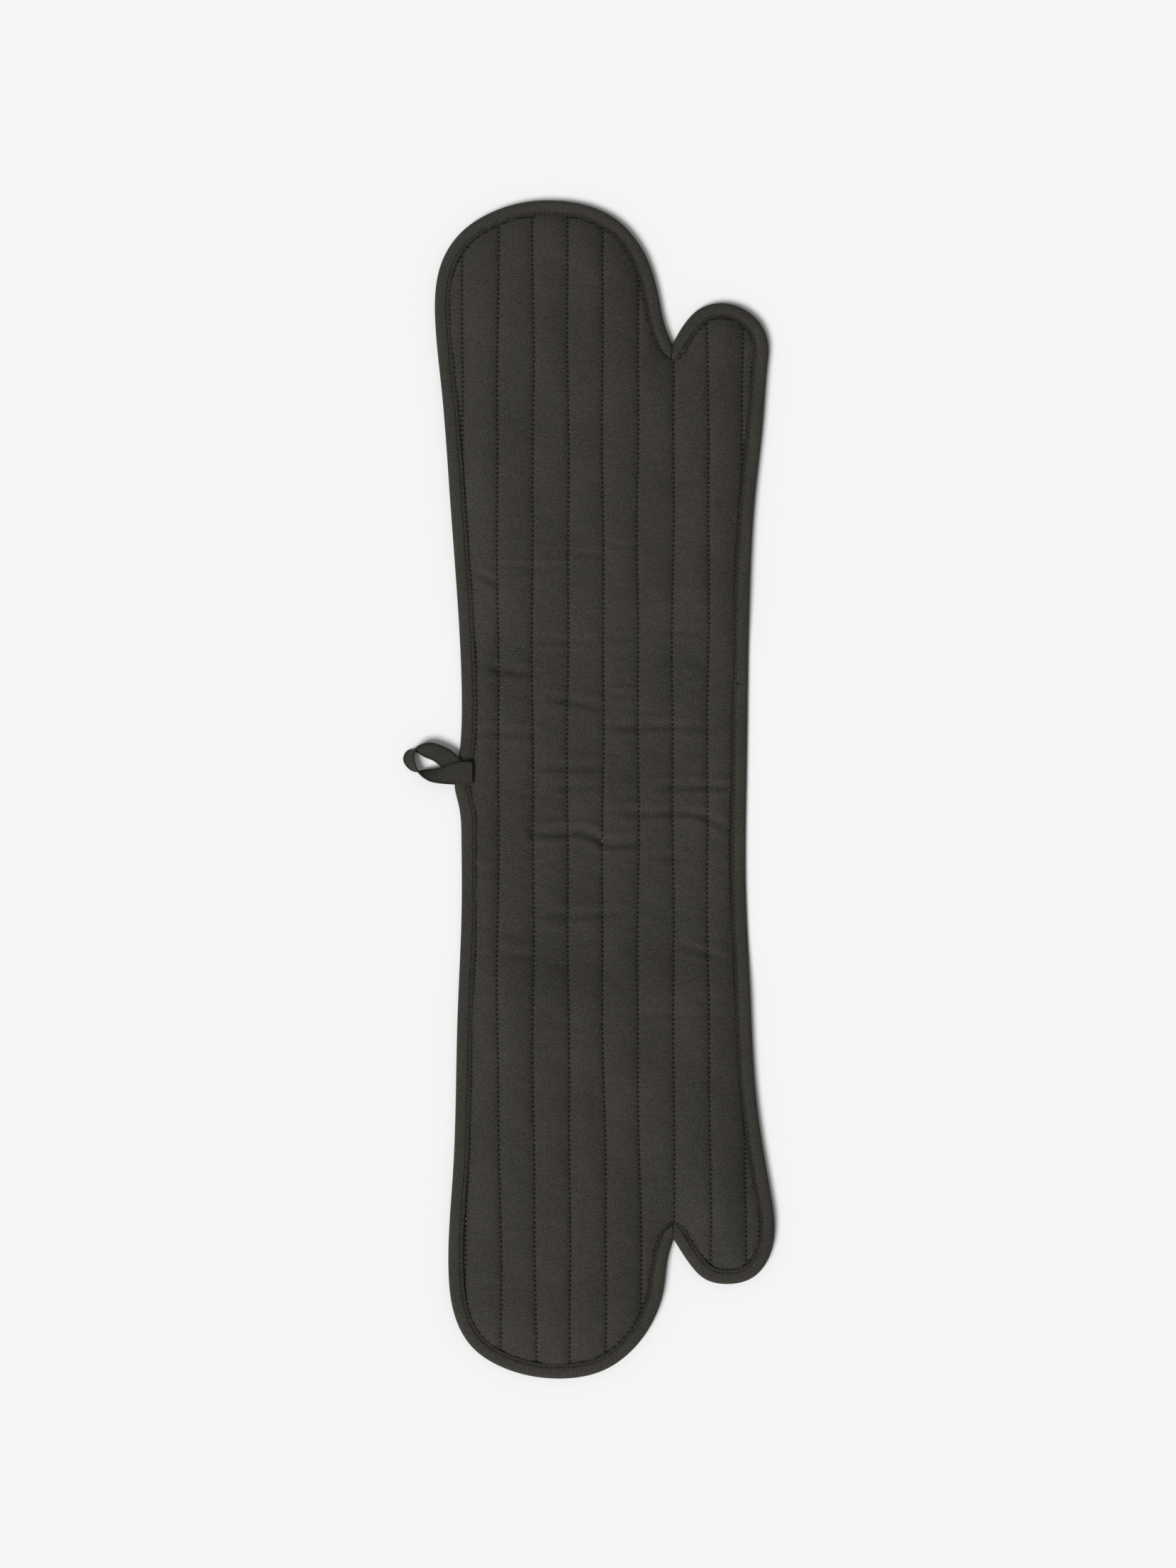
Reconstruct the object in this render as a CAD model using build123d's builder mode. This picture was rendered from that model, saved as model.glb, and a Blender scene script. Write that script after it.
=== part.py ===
from build123d import *
import os

# Double oven mitt lying face up: a quilted panel with a pocket for a hand under each end.
# Millimetres. X runs across, Y along the panel, Z up from the underside. Origin under the middle.

# driving dimensions
FABRIC = 0.6            # twill face and pocket shell
LINING = 0.5            # lining cloth
LOFT = 5.0              # wadding between face and lining
CAVITY = 5.0            # room for the hand with the mitt lying flat
BINDING_WIDTH = 11.0    # visible width of the binding
BINDING_WALL = 1.0      # folded tape, two layers
CHANNEL = 25.4          # pitch of the quilting lines
FIRST_LINE = 10.4       # quilting line nearest the middle
THREAD = 0.6            # width of a line of stitches
THREAD_RISE = 0.2
TAPE = 1.6              # folded hanging tape
GAP = 0.25              # half of the slit between two moving bodies
REACH = 150.0           # half-width that is wider than the mitt
END = 445.0             # half-length that is longer than the mitt
SPACING = 14.0          # between the points of a moved outline

FOLD_UP = 30.0          # fold between the middle and the upper half
FOLD_DOWN = -6.0        # fold between the middle and the lower half
MOUTH_UP = 165.0        # mouth edge of the upper pocket
MOUTH_DOWN = -175.0     # mouth edge of the lower pocket
TIP = 414.0             # finger end of both pocket plates
UPPER_CROTCH = (60.6, 323.4)
LOWER_CROTCH = (61.7, -326.6)
UPPER_BASE = (123.0, 234.0)     # outer end of the upper thumb's fold
LOWER_BASE = (121.7, -223.1)    # outer end of the lower thumb's fold

# heights: in the web the layers lie on the table, in the mitts they lie on the pocket
POCKET = FABRIC + LOFT - 0.6 + LINING           # 5.5
LIFT = POCKET + CAVITY                          # 10.5
FACE_WEB = LINING + LOFT                        # 5.5
FACE_MITT = LIFT + FACE_WEB                     # 16.0

os.makedirs("parts", exist_ok=True)


def outline():
    """The edge of the whole mitt, seen from above."""
    with BuildSketch(Plane.XY) as edge:
        with BuildLine():
            Spline(
                (-93.0, 12), (-92.4, 60), (-94.7, 126.7), (-100.9, 212.8), (-107, 291.4),
                (-111.6, 340.8), (-106.2, 384.9), (-93.9, 403.7), (-70.9, 419.3), (-26.7, 428),
                (17.6, 416), (42.9, 384.9), (55.3, 337.3), UPPER_CROTCH,
            )
            Spline(
                UPPER_CROTCH, (70, 339), (79.8, 348.8), (98.2, 353.4), (115.9, 347.2),
                (125.7, 337.3), (130.6, 322.3), (126.5, 266.9), (120.8, 212.8),
                (115.9, 96.1), (114.7, 12),
            )
            Spline(
                (114.7, 12), (114.1, -71.4), (117.4, -147), (121.7, -223.1), (132.8, -296.4),
                (135.1, -318.7), (131.1, -339.8), (119.9, -354.1), (100.5, -359.3),
                (84.6, -355.7), (73.2, -344.4), LOWER_CROTCH,
            )
            Spline(
                LOWER_CROTCH, (57.3, -339.8), (54, -365.5), (47.5, -384.7), (34.7, -404),
                (12.1, -421.4), (-23.1, -428), (-60, -420.9), (-85.7, -404), (-98.5, -378.3),
                (-101.8, -352.6), (-98.5, -275.5), (-95.4, -166.4), (-92.4, -85.3), (-93.0, 12),
            )
        make_face()
    return edge.sketch


EDGE = outline()


def inset_edge(inset):
    """The outline moved inward, its long stretches drawn again as smooth curves."""
    with BuildSketch(Plane.XY) as moved:
        add(EDGE)
        offset(amount=-inset, kind=Kind.ARC)
    with BuildSketch(Plane.XY) as drawn:
        with BuildLine():
            for stretch in moved.sketch.faces()[0].outer_wire().edges():
                steps = max(3, round(stretch.length / SPACING))
                Spline(*[stretch @ (i / steps) for i in range(steps + 1)])
        make_face()
    return drawn.sketch


def prism(inset):
    """Everything above and below the outline, moved inward by inset."""
    with BuildPart() as block:
        with BuildSketch(Plane.XY.offset(-5)):
            add(inset_edge(inset) if inset else EDGE)
        extrude(amount=40)
    return block.part


def slab(low_web, high_web, low_mitt, high_mitt):
    """A layer that lies low in the web and climbs onto the pocket at each mitt."""
    with BuildPart() as sheet:
        with BuildSketch(Plane.YZ.offset(-REACH)):
            Polygon(
                (-END, low_mitt), (-155, low_mitt), (-105, low_web), (95, low_web),
                (145, low_mitt), (END, low_mitt), (END, high_mitt), (145, high_mitt),
                (95, high_web), (-105, high_web), (-155, high_mitt), (-END, high_mitt),
                align=None,
            )
        extrude(amount=2 * REACH)
    return sheet.part


def common(first, second):
    """What two solids share."""
    with BuildPart() as both:
        add(first)
        add(second, mode=Mode.INTERSECT)
    return both.part


WHOLE = prism(0)
UNDER_TAPE = prism(BINDING_WALL)
INSIDE = prism(BINDING_WIDTH)
PLATE = prism(BINDING_WIDTH + 2.0)


def base_line(crotch, base, shift, side):
    """Two points of the thumb's fold: at the crotch and beyond the outer edge."""
    dx = base[0] - crotch[0]
    dy = base[1] - crotch[1]
    length = (dx * dx + dy * dy) ** 0.5
    nx = -dy / length * side
    ny = dx / length * side
    far = (REACH - crotch[0]) / dx
    near = (crotch[0] + nx * shift, crotch[1] + ny * shift)
    return near, (REACH + nx * shift, crotch[1] + dy * far + ny * shift)


def region(name, gap=GAP):
    """Plan outline of one moving body."""
    if name == "centre":
        low = FOLD_DOWN + gap
        high = FOLD_UP - gap
        return [(-REACH, low), (REACH, low), (REACH, high), (-REACH, high)]
    sign = 1 if name.startswith("upper") else -1
    crotch = UPPER_CROTCH if sign > 0 else LOWER_CROTCH
    base = UPPER_BASE if sign > 0 else LOWER_BASE
    thumb = name.endswith("thumb")
    near, far = base_line(crotch, base, gap if thumb else -gap, sign)
    top = (near[0] + 1.5 + (gap if thumb else -gap), crotch[1] + sign * 22)
    if thumb:
        return [near, far, (REACH + 10, far[1]), (REACH + 10, sign * END), (top[0], sign * END), top]
    fold = FOLD_UP + gap if sign > 0 else FOLD_DOWN - gap
    return [
        (-REACH - 10, fold), (REACH + 10, fold), (REACH + 10, far[1]), far, near, top,
        (top[0], sign * END), (-REACH - 10, sign * END),
    ]


def save(part, name):
    part.label = name
    export_step(part, f"parts/{name}.step")


def cut(layer, name, limit, gap=GAP):
    """The share of a layer that belongs to one body, inside a plan limit."""
    with BuildPart() as piece:
        add(layer)
        add(limit, mode=Mode.INTERSECT)
        with BuildSketch(Plane.XY.offset(-5)):
            Polygon(*region(name, gap), align=None)
        extrude(amount=40, mode=Mode.INTERSECT)
    return piece.part


BODIES = ("centre", "upper_half", "lower_half", "upper_thumb", "lower_thumb")

# face: one twill sheet over the wadding, as far as the binding
face_layer = slab(FACE_WEB, FACE_WEB + FABRIC, FACE_MITT, FACE_MITT + FABRIC)
for body in BODIES:
    save(cut(face_layer, body, INSIDE), f"{body}_face")

# lining: one sheet under the wadding
lining_layer = slab(0, LINING, LIFT, LIFT + LINING)
for body in BODIES:
    save(cut(lining_layer, body, INSIDE), f"{body}_lining")

# wadding: full loft inside, pressed flat where the binding grips it
loft_layer = slab(LINING, FACE_WEB, LIFT + LINING, FACE_MITT)
grip_layer = slab(1.3, 4.8, 11.0, 12.5)
with BuildPart() as wadding_layer:
    add(loft_layer)
    add(INSIDE, mode=Mode.INTERSECT)
    add(common(grip_layer, UNDER_TAPE) - INSIDE)
for body in BODIES:
    save(cut(wadding_layer.part, body, WHOLE), f"{body}_wadding")

# binding: a tape folded round the edge, open towards the middle
tape_layer = slab(0.3, 5.8, 3.0, 13.5)
slot_layer = slab(1.3, 4.8, 4.0, 12.5)
with BuildPart() as binding_ring:
    add(tape_layer)
    add(WHOLE, mode=Mode.INTERSECT)
    add(INSIDE, mode=Mode.SUBTRACT)
    add(common(slot_layer, UNDER_TAPE), mode=Mode.SUBTRACT)
for body in BODIES:
    save(cut(binding_ring.part, body, WHOLE), f"{body}_binding")

# quilting: lines of stitches along the face
stitch_layer = slab(
    FACE_WEB + FABRIC, FACE_WEB + FABRIC + THREAD_RISE,
    FACE_MITT + FABRIC, FACE_MITT + FABRIC + THREAD_RISE,
)
with BuildPart() as rows:
    with BuildSketch(Plane.XY.offset(-5)):
        with Locations(*[(FIRST_LINE + CHANNEL * k, 0) for k in range(-4, 5)]):
            Rectangle(THREAD, 2 * END)
    extrude(amount=40)
quilting = common(stitch_layer, rows.part)
for body in BODIES:
    save(cut(quilting, body, INSIDE), f"{body}_quilting")

# topstitch: one line that holds the binding down, near its inner fold
STITCH_INSET = BINDING_WIDTH - 2.0
line_ring = prism(STITCH_INSET - THREAD) - prism(STITCH_INSET)
stitch_on_tape = slab(5.8, 5.8 + THREAD_RISE, 13.5, 13.5 + THREAD_RISE)
topstitch = common(stitch_on_tape, line_ring)
for body in BODIES:
    save(cut(topstitch, body, WHOLE), f"{body}_topstitch")


def mitt_zone(sign, start):
    """Plan block from the mouth of a pocket to past the finger end."""
    with BuildPart() as zone:
        with BuildSketch(Plane.XY.offset(-5)):
            with Locations((0, (start + sign * END) / 2)):
                Rectangle(2 * REACH + 40, abs(END - abs(start)))
        extrude(amount=40)
    return zone.part


def level(low, high):
    """A flat layer."""
    with BuildPart() as flat:
        with BuildSketch(Plane.XY.offset(low)):
            Rectangle(2 * REACH, 2 * END)
        extrude(amount=high - low)
    return flat.part


# seam of the pocket: its edge, pressed flat in the binding under the panel's edge
seam_band = common(level(4.0, 10.5), UNDER_TAPE) - INSIDE
for sign, side, mouth in ((1, "upper", MOUTH_UP), (-1, "lower", MOUTH_DOWN)):
    seam = common(seam_band, mitt_zone(sign, mouth + sign * 2))
    for body in (f"{side}_half", f"{side}_thumb"):
        save(cut(seam, body, WHOLE), f"{body}_pocket_seam")


# pockets: shell, wadding and lining under each mitt, with a bound mouth
shell_layer = level(0, FABRIC)
pad_layer = level(FABRIC, POCKET - LINING)
back_layer = level(POCKET - LINING, POCKET)
for sign, side, mouth in ((1, "upper", MOUTH_UP), (-1, "lower", MOUTH_DOWN)):
    hand = f"{side}_half"
    thumb = f"{side}_thumb"
    with BuildPart() as cuff_plan:
        with BuildSketch(Plane.XY.offset(-5)):
            with Locations((0, mouth + sign * 6)):
                Rectangle(2 * REACH, 12)
        extrude(amount=40)
    with BuildPart() as plate_plan:
        with BuildSketch(Plane.XY.offset(-5)):
            with Locations((0, (mouth + sign * 12 + sign * TIP) / 2)):
                Rectangle(2 * REACH, TIP - abs(mouth) - 12)
        extrude(amount=40)
    hand_plate = common(PLATE, plate_plan.part)
    save(cut(shell_layer, hand, hand_plate, 0.5), f"{side}_pocket_shell")
    save(cut(back_layer, hand, hand_plate, 0.5), f"{side}_pocket_lining")
    with BuildPart() as lip:
        with BuildSketch(Plane.XY.offset(BINDING_WALL)):
            with Locations((0, mouth + sign * 6.5)):
                Rectangle(2 * REACH, 11)
        extrude(amount=POCKET - 2 * BINDING_WALL)
    pad = cut(pad_layer, hand, hand_plate, 0.5) + cut(lip.part, hand, PLATE, 0.5)
    save(pad, f"{side}_pocket_wadding")
    with BuildPart() as cuff:
        add(level(0, POCKET))
        add(cuff_plan.part, mode=Mode.INTERSECT)
        add(lip.part, mode=Mode.SUBTRACT)
    save(cut(cuff.part, hand, PLATE, 0.5), f"{side}_cuff_binding")
    # back of the thumb
    save(cut(shell_layer, thumb, PLATE, 0.5), f"{side}_thumb_back_shell")
    save(cut(pad_layer, thumb, PLATE, 0.5), f"{side}_thumb_back_wadding")
    save(cut(back_layer, thumb, PLATE, 0.5), f"{side}_thumb_back_lining")

# hanging loop: a folded tape that leaves the binding, turns round and comes back
LOOP_EDGE = -99.4
with BuildPart() as loop:
    with BuildSketch(Plane.XY.offset(2.4)):
        with BuildLine():
            Polyline((LOOP_EDGE, 3.8), (LOOP_EDGE, 24.5), (-104.5, 29.5))
            Spline((-104.5, 29.5), (-116.4, 34.4), (-128, 31.5), (-134.8, 21.6), (-126, 11), (-112, 5.2))
            Line((-112, 5.2), (LOOP_EDGE, 3.8))
        make_face()
        with BuildLine():
            Polyline(
                (-125.2, 25.2), (-113.3, 21.8), (-107.7, 16.4), (-112.8, 15.2),
                (-118, 15.6), (-124.1, 18), close=True,
            )
        make_face(mode=Mode.SUBTRACT)
    extrude(amount=6.2)
loop.part.label = "loop"
export_step(loop.part, "parts/loop.step")

# sewn end of the tape, flat on the binding
with BuildPart() as loop_base:
    with BuildSketch(Plane.XY.offset(5.8)):
        with Locations((-91.9, 12.1)):
            Rectangle(14.2, 17)
    extrude(amount=TAPE)
loop_base.part.label = "loop_base"
export_step(loop_base.part, "parts/loop_base.step")

# bartack: dense stitches across the tape's end
with BuildPart() as bartack:
    with BuildSketch(Plane.XY.offset(5.8 + TAPE)):
        with Locations((-86.5, 11.6)):
            Rectangle(1.4, 14)
        with Locations((-89.6, 19.0)):
            Rectangle(5.0, 1.2)
    extrude(amount=0.5)
bartack.part.label = "bartack"
export_step(bartack.part, "parts/bartack.step")
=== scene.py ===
import math

import bpy
import numpy as np
from bpy.props import FloatProperty, FloatVectorProperty, PointerProperty
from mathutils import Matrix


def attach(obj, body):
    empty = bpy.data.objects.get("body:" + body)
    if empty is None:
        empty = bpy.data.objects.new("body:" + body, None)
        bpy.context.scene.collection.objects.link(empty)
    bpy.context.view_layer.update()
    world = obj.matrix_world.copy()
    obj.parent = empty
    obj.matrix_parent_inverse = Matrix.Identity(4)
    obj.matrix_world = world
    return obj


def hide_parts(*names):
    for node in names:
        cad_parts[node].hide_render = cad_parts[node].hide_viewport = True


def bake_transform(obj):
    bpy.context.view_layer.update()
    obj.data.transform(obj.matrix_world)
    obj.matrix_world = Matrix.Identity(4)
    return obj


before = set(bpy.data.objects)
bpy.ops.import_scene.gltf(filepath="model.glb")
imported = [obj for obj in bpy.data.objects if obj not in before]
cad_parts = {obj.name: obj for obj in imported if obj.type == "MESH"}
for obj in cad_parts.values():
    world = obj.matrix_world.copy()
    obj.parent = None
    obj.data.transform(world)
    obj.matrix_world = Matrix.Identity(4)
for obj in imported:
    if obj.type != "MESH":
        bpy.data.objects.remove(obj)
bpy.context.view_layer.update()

bl_info = {
    "name": "Double Oven Mitt",
    "version": (1, 0, 0),
    "blender": (4, 5, 0),
    "location": "View3D > Sidebar > Mitt",
    "description": "Builds a quilted double oven mitt with bound edges, pockets and a hanging loop",
    "category": "Object",
}

MM = 0.001

# ---------------------------------------------------------------- plan of the mitt, in millimetres
UPPER_CROTCH = (60.6, 323.4)
LOWER_CROTCH = (61.7, -326.6)
HAND_SIDE = [
    LOWER_CROTCH, (57.6, -339.8), (54.0, -365.5), (47.5, -384.7), (34.7, -404.0), (12.1, -421.4),
    (-23.1, -428.0), (-60.0, -420.9), (-85.7, -404.0), (-98.5, -378.3), (-101.8, -352.6),
    (-98.5, -275.5), (-95.4, -166.4), (-92.4, -85.3), (-92.6, -34.0), (-94.2, -13.0), (-97.6, 3.5),
    (-94.6, 24.0), (-92.7, 42.0), (-92.4, 73.5), (-94.7, 126.7), (-100.9, 212.8), (-107.0, 291.4),
    (-111.6, 340.8), (-106.2, 384.9), (-93.9, 403.7), (-70.9, 419.3), (-49.6, 426.2),
    (-26.7, 428.0),
    (-3.9, 425.1), (17.6, 416.0), (42.9, 384.9), (52.0, 352.1), (55.3, 337.3), UPPER_CROTCH,
]
THUMB_SIDE = [
    UPPER_CROTCH, (70.0, 339.0), (79.8, 348.8), (98.2, 353.4), (115.9, 347.2), (125.7, 337.3),
    (130.6, 322.3), (129.8, 307.9), (126.5, 266.9), (120.8, 212.8), (117.6, 161.4), (115.9, 96.1),
    (114.7, 12.0), (114.1, -71.4), (117.4, -147.0), (121.7, -223.1), (129.2, -275.5),
    (132.8, -296.4), (135.1, -318.7), (131.1, -339.8), (119.9, -354.1), (100.5, -359.3),
    (84.6, -355.7), (73.2, -344.4), LOWER_CROTCH,
]
MIDDLE = 12.0           # the panel's two visible halves meet here, under the loop
SIDES = {
    "upper": {
        "sign": 1, "crotch": UPPER_CROTCH, "base": (123.0, 234.0), "fold": 30.0, "mouth": 165.0,
    },
    "lower": {
        "sign": -1, "crotch": LOWER_CROTCH, "base": (121.7, -223.1), "fold": -6.0, "mouth": -175.0,
    },
}
CHANNEL, FIRST_LINE = 25.4, 10.4
BOUND = 9               # depth at which the cloth leaves the binding
END = 432.0             # the grids of cloth reach this far along the panel
LINES = range(-4, 5)

# creases of the middle: (points, depth, half-width)
CREASES = [
    ([(-83.5, 162), (-74, 153), (-64.5, 149.5)], 2.8, 2.2),
    ([(-63, 162), (-40, 161), (-20.3, 162)], 2.6, 2.0),
    ([(-63, 157), (-42, 157), (-22, 158)], 1.8, 1.7),
    ([(-13.6, 171), (11, 171.5)], 1.5, 2.2),
    ([(12.6, 177), (34, 176.5)], 1.5, 2.0),
    ([(-77.4, 91.5), (-60, 87), (-40, 86)], 1.0, 3.0),
    ([(-40, 108.5), (-15, 109), (9.5, 108)], 0.9, 2.6),
    ([(11, 110), (34, 110)], 0.7, 2.4),
    ([(46, 115), (66, 115.5), (83, 115)], 0.9, 2.6),
    ([(-26.5, 67), (-8, 64), (9.5, 61)], 1.0, 2.8),
    ([(12.6, 69), (36, 69)], 0.6, 2.4),
    ([(11, 46), (46, 46.5), (86.6, 46)], 0.9, 2.8),
    ([(-79, 43), (-60, 42), (-40, 40.5)], 0.9, 3.0),
    ([(-38, 18), (-14, 17), (9.5, 18)], 0.8, 2.6),
    ([(-26, 2.6), (10, 2.6)], 0.9, 2.4),
    ([(51, 2.6), (76, 3.0), (102, 2.4)], 1.0, 2.6),
    ([(18, -5), (36, -5.5)], 0.6, 2.2),
    ([(28.5, -16), (60, -16), (79.4, -17), (102, -28.8)], 1.1, 2.8),
    ([(-40.4, -31), (-15, -30.5), (0, -31), (10.5, -37.5), (36, -37)], 1.5, 3.0),
    ([(48.6, -49), (69, -49)], 0.7, 2.4),
    ([(-36, -89), (-8, -90), (22, -89.5)], 0.8, 2.8),
    ([(67.6, -112.6), (84, -118), (99, -122)], 0.8, 2.6),
    ([(22.4, -163.5), (60, -163), (107, -163.5)], 0.8, 2.6),
    ([(-34.7, -169), (-8, -169.5), (16.7, -169)], 0.8, 2.4),
    ([(-84, -60), (-64, -58)], 0.7, 3.0),
    ([(-62, -118), (-42, -121)], 0.6, 3.0),
    ([(62, 140), (84, 138.5)], 0.6, 2.6),
]


def smooth_curve(points, step):
    """A natural cubic curve through the points, sampled about every step."""
    p = np.array(points, float)
    t = run_along(p)
    h = np.diff(t)
    n = len(p)
    system = np.eye(n)
    right = np.zeros_like(p)
    for i in range(1, n - 1):
        system[i, i - 1: i + 2] = h[i - 1], 2 * (h[i - 1] + h[i]), h[i]
        right[i] = 6 * ((p[i + 1] - p[i]) / h[i] - (p[i] - p[i - 1]) / h[i - 1])
    bend = np.linalg.solve(system, right)
    s = np.linspace(0, t[-1], max(2, round(t[-1] / step)) + 1)
    i = np.clip(np.searchsorted(t, s, side="right") - 1, 0, n - 2)
    a = ((t[i + 1] - s) / h[i])[:, None]
    b = ((s - t[i]) / h[i])[:, None]
    span = (h[i] ** 2 / 6)[:, None]
    return a * p[i] + b * p[i + 1] + ((a**3 - a) * bend[i] + (b**3 - b) * bend[i + 1]) * span


def unit(v):
    """Vectors at length one, one to a row."""
    return v / np.linalg.norm(v, axis=1)[:, None]


def run_along(points):
    """Distance travelled to each point."""
    steps = np.linalg.norm(np.diff(np.asarray(points, float), axis=0), axis=1)
    return np.concatenate(([0], np.cumsum(steps)))


def at_run(line, t, at):
    """Points of the line at distances along its run t."""
    return np.column_stack([np.interp(at, t, line[:, c]) for c in range(3)])


def distance_to_line(points, line, closed=False):
    """Distance of each point from a polyline."""
    line = np.array(line, float)
    start = line if closed else line[:-1]
    end = np.roll(line, -1, axis=0) if closed else line[1:]
    along = end - start
    square = np.maximum((along**2).sum(1), 1e-9)
    found = np.empty(len(points))
    for k in range(0, len(points), 4000):
        part = points[k: k + 4000]
        rel = part[:, None, :] - start[None]
        share = np.clip((rel * along).sum(2) / square, 0, 1)
        gap = rel - share[..., None] * along
        found[k: k + 4000] = np.sqrt((gap**2).sum(2).min(1))
    return found


def is_inside(points, ring):
    """True for points inside the closed ring."""
    x, y = points[:, 0], points[:, 1]
    odd = np.zeros(len(points), bool)
    for (x0, y0), (x1, y1) in zip(ring, np.roll(ring, -1, axis=0)):
        if y0 == y1:
            continue
        crosses = (y0 > y) != (y1 > y)
        odd ^= crosses & (x < (x1 - x0) * (y - y0) / (y1 - y0) + x0)
    return odd


HAND_CURVE = smooth_curve(HAND_SIDE, 3.0)
THUMB_CURVE = smooth_curve(THUMB_SIDE, 3.0)
RING = np.vstack([HAND_CURVE[:-1], THUMB_CURVE[:-1]])
CELL = 2.0
X0, Y0, COLS, ROWS = -150.0, -444.0, 151, 445


def depth_table():
    """Depth inside the edge on a fine square grid, negative outside."""
    gx, gy = np.meshgrid(X0 + CELL * np.arange(COLS), Y0 + CELL * np.arange(ROWS))
    points = np.column_stack([gx.ravel(), gy.ravel()])
    depth = distance_to_line(points, RING, closed=True)
    return np.where(is_inside(points, RING), depth, -depth).reshape(ROWS, COLS)


DEPTH = depth_table()


def mix_corners(table, i, j, fu, fv):
    """Value inside a cell of the table, from its four corners."""
    return (
        table[j, i] * (1 - fu) * (1 - fv) + table[j, i + 1] * fu * (1 - fv)
        + table[j + 1, i] * (1 - fu) * fv + table[j + 1, i + 1] * fu * fv
    )


def sample(table, u, v):
    """Bilinear lookup."""
    u = np.clip(u, 0, table.shape[1] - 1.001)
    v = np.clip(v, 0, table.shape[0] - 1.001)
    i, j = u.astype(int), v.astype(int)
    return mix_corners(table, i, j, u - i, v - j)


def depth_at(x, y):
    return sample(DEPTH, (x - X0) / CELL, (y - Y0) / CELL)


def soft(t):
    t = np.clip(t, 0, 1)
    return t * t * (3 - 2 * t)


def rumple(x, y, seed):
    """Smooth noise of unit size cells, about -1 to 1."""
    table = np.random.default_rng(seed).uniform(-1, 1, (128, 128))
    u, v = np.mod(x, 120.0), np.mod(y, 120.0)
    i, j = np.floor(u).astype(int), np.floor(v).astype(int)
    return mix_corners(table, i, j, soft(u - i), soft(v - j))


def crown(depth, reach):
    """0 at the binding, 1 from reach further in, rounded like a padded edge."""
    return np.sin(0.5 * np.pi * np.clip((depth - BOUND) / reach, 0, 1))


def inside_edge(depth):
    """0 under the binding, 1 where the channels are at full height."""
    return soft((depth - 8) / 9)


def on_mitt(y):
    """0 in the middle of the panel, 1 over the pockets."""
    return soft((y - 95) / 50) + soft((-105 - y) / 50)


def seam_x(k, y):
    """Where a quilting line runs: nearly straight, drifting a little at the lower mitt."""
    wander = 0.5 * np.sin(y / 61 + 1.7 * k) + 0.3 * np.sin(y / 23 + 2.9 * k)
    return FIRST_LINE + CHANNEL * k + wander + 2.0 * soft((-150 - y) / 200)


def seam_offset(x, y):
    """Signed distance from the nearest quilting line."""
    best = np.full(np.shape(x), 99.0)
    for k in LINES:
        gap = x - seam_x(k, y)
        best = np.where(np.abs(gap) < np.abs(best), gap, best)
    return best


def loft(x, y):
    """How far the wadding lifts the cloth between two quilting lines, 0 to 1."""
    u = np.clip(np.abs(seam_offset(x, y)) / 12.7, 0, 1)
    return 1 - (1 - u) ** 3.0


def crease(x, y):
    """Depth of the creases pressed in the middle."""
    total = np.zeros(np.shape(x))
    points = np.column_stack([np.ravel(x), np.ravel(y)])
    flat = total.ravel()
    for line, deep, wide in CREASES:
        line = np.array(line, float)
        low, high = line.min(0) - 14, line.max(0) + 14
        near = np.all((points > low) & (points < high), axis=1)
        if not near.any():
            continue
        path = smooth_curve(line, 4.0) if len(line) > 2 else line
        gap = distance_to_line(points[near], path)
        ends = np.minimum(
            np.linalg.norm(points[near] - line[0], axis=1),
            np.linalg.norm(points[near] - line[-1], axis=1),
        )
        fade = 0.35 + 0.65 * soft(ends / 9)
        valley = np.exp(-((gap / wide) ** 2))
        shoulder = 0.55 * np.exp(-(((gap - 2.1 * wide) / (0.9 * wide)) ** 2))
        flat[near] += deep * fade * (shoulder - valley)
    return flat.reshape(np.shape(x))


def enlarge(table, times):
    """The table with more points each way, along cubic curves."""
    for axis in (0, 1):
        rows = np.moveaxis(table, axis, 0)
        last = len(rows) - 1
        at = np.arange(last * times + 1) / times
        i = np.minimum(at.astype(int), last - 1)
        t = (at - i)[:, None]
        a, b, c, d = (rows[np.clip(i + o, 0, last)] for o in (-1, 0, 1, 2))
        curve = 2 * a - 5 * b + 4 * c - d + t * (3 * (b - c) + d - a)
        table = np.moveaxis(b + 0.5 * t * (c - a + t * curve), 0, axis)
    return table


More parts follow.
